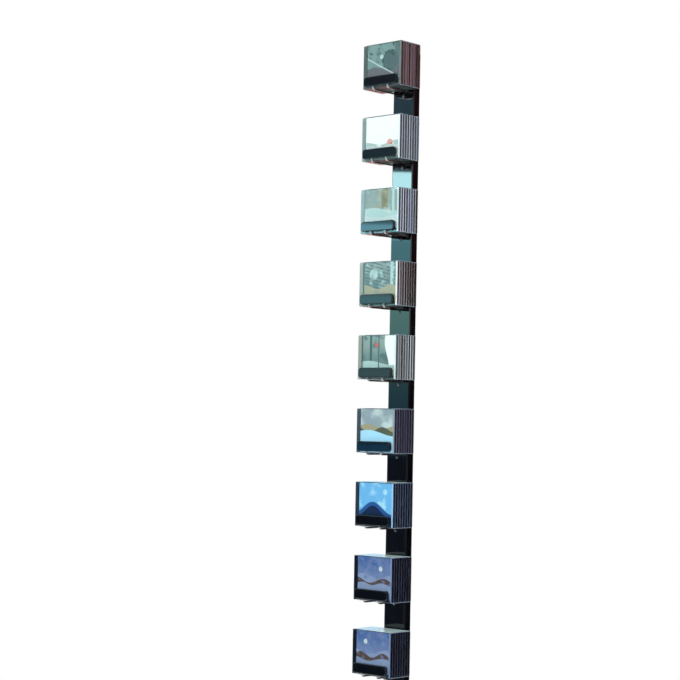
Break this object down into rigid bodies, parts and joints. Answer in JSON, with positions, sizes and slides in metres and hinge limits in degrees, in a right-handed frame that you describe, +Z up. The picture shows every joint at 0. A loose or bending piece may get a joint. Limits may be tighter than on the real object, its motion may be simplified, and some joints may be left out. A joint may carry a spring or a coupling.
{
  "type": "wall cd rack",
  "caption": "Tall black wall rack: a folded steel channel with bent-wire cradles and moulded front lips, each holding a stack of jewel cases that lift out upwards.",
  "frame": {"origin": "centre of the top hanger's back face, on the wall", "axes": "+Z up along the channel, +X to the right seen from the room, -Y out of the wall towards the room"},
  "size_m": [0.142, 0.129, 1.7871],
  "materials": {
    "column_lacquer": "smooth gloss black lacquer",
    "cap_plastic": "fine satin moulding",
    "zinc_steel": "bright zinc plate",
    "black_wire": "satin black coating",
    "lip_plastic": "satin to gloss black moulding",
    "black_screw": "black oxide",
    "case_styrene": "clear styrene over dark trays and printed spines",
    "cover_1": "clear styrene over a printed booklet",
    "cover_2": "clear styrene over a printed booklet",
    "cover_3": "clear styrene over a printed booklet",
    "cover_4": "clear styrene over a printed booklet",
    "cover_5": "clear styrene over a printed booklet",
    "cover_6": "clear styrene over a printed booklet",
    "cover_7": "clear styrene over a printed booklet",
    "cover_8": "clear styrene over a printed booklet",
    "cover_9": "clear styrene over a printed booklet"
  },
  "bodies": {
    "rack": {"column": "column_lacquer", "column_cap_top": "cap_plastic", "column_cap_bottom": "cap_plastic", "hanger_top": "zinc_steel", "hanger_bottom": "zinc_steel", "cradle_1": "black_wire", "lip_1": "lip_plastic", "clamp_1": "zinc_steel", "screw_1": "black_screw", "cradle_2": "black_wire", "lip_2": "lip_plastic", "clamp_2": "zinc_steel", "screw_2": "black_screw", "cradle_3": "black_wire", "lip_3": "lip_plastic", "clamp_3": "zinc_steel", "screw_3": "black_screw", "cradle_4": "black_wire", "lip_4": "lip_plastic", "clamp_4": "zinc_steel", "screw_4": "black_screw", "cradle_5": "black_wire", "lip_5": "lip_plastic", "clamp_5": "zinc_steel", "screw_5": "black_screw", "cradle_6": "black_wire", "lip_6": "lip_plastic", "clamp_6": "zinc_steel", "screw_6": "black_screw", "cradle_7": "black_wire", "lip_7": "lip_plastic", "clamp_7": "zinc_steel", "screw_7": "black_screw", "cradle_8": "black_wire", "lip_8": "lip_plastic", "clamp_8": "zinc_steel", "screw_8": "black_screw", "cradle_9": "black_wire", "lip_9": "lip_plastic", "clamp_9": "zinc_steel", "screw_9": "black_screw"},
    "front_case_1": {"front_case_1": "cover_1"},
    "case_pack_1": {"case_pack_1": "case_styrene"},
    "front_case_2": {"front_case_2": "cover_2"},
    "case_pack_2": {"case_pack_2": "case_styrene"},
    "front_case_3": {"front_case_3": "cover_3"},
    "case_pack_3": {"case_pack_3": "case_styrene"},
    "front_case_4": {"front_case_4": "cover_4"},
    "case_pack_4": {"case_pack_4": "case_styrene"},
    "front_case_5": {"front_case_5": "cover_5"},
    "case_pack_5": {"case_pack_5": "case_styrene"},
    "front_case_6": {"front_case_6": "cover_6"},
    "case_pack_6": {"case_pack_6": "case_styrene"},
    "front_case_7": {"front_case_7": "cover_7"},
    "case_pack_7": {"case_pack_7": "case_styrene"},
    "front_case_8": {"front_case_8": "cover_8"},
    "case_pack_8": {"case_pack_8": "case_styrene"},
    "front_case_9": {"front_case_9": "cover_9"},
    "case_pack_9": {"case_pack_9": "case_styrene"}
  },
  "joints": [
    {"name": "front_case_1_lift", "type": "slide", "parent": "rack", "child": "front_case_1", "axis": [0, 0, 1], "range_m": [0, 0.045]},
    {"name": "case_pack_1_lift", "type": "slide", "parent": "rack", "child": "case_pack_1", "axis": [0, 0, 1], "range_m": [0, 0.045]},
    {"name": "front_case_2_lift", "type": "slide", "parent": "rack", "child": "front_case_2", "axis": [0, 0, 1], "range_m": [0, 0.045]},
    {"name": "case_pack_2_lift", "type": "slide", "parent": "rack", "child": "case_pack_2", "axis": [0, 0, 1], "range_m": [0, 0.045]},
    {"name": "front_case_3_lift", "type": "slide", "parent": "rack", "child": "front_case_3", "axis": [0, 0, 1], "range_m": [0, 0.045]},
    {"name": "case_pack_3_lift", "type": "slide", "parent": "rack", "child": "case_pack_3", "axis": [0, 0, 1], "range_m": [0, 0.045]},
    {"name": "front_case_4_lift", "type": "slide", "parent": "rack", "child": "front_case_4", "axis": [0, 0, 1], "range_m": [0, 0.045]},
    {"name": "case_pack_4_lift", "type": "slide", "parent": "rack", "child": "case_pack_4", "axis": [0, 0, 1], "range_m": [0, 0.045]},
    {"name": "front_case_5_lift", "type": "slide", "parent": "rack", "child": "front_case_5", "axis": [0, 0, 1], "range_m": [0, 0.045]},
    {"name": "case_pack_5_lift", "type": "slide", "parent": "rack", "child": "case_pack_5", "axis": [0, 0, 1], "range_m": [0, 0.045]},
    {"name": "front_case_6_lift", "type": "slide", "parent": "rack", "child": "front_case_6", "axis": [0, 0, 1], "range_m": [0, 0.045]},
    {"name": "case_pack_6_lift", "type": "slide", "parent": "rack", "child": "case_pack_6", "axis": [0, 0, 1], "range_m": [0, 0.045]},
    {"name": "front_case_7_lift", "type": "slide", "parent": "rack", "child": "front_case_7", "axis": [0, 0, 1], "range_m": [0, 0.045]},
    {"name": "case_pack_7_lift", "type": "slide", "parent": "rack", "child": "case_pack_7", "axis": [0, 0, 1], "range_m": [0, 0.045]},
    {"name": "front_case_8_lift", "type": "slide", "parent": "rack", "child": "front_case_8", "axis": [0, 0, 1], "range_m": [0, 0.045]},
    {"name": "case_pack_8_lift", "type": "slide", "parent": "rack", "child": "case_pack_8", "axis": [0, 0, 1], "range_m": [0, 0.045]},
    {"name": "front_case_9_lift", "type": "slide", "parent": "rack", "child": "front_case_9", "axis": [0, 0, 1], "range_m": [0, 0.045]},
    {"name": "case_pack_9_lift", "type": "slide", "parent": "rack", "child": "case_pack_9", "axis": [0, 0, 1], "range_m": [0, 0.045]}
  ]
}
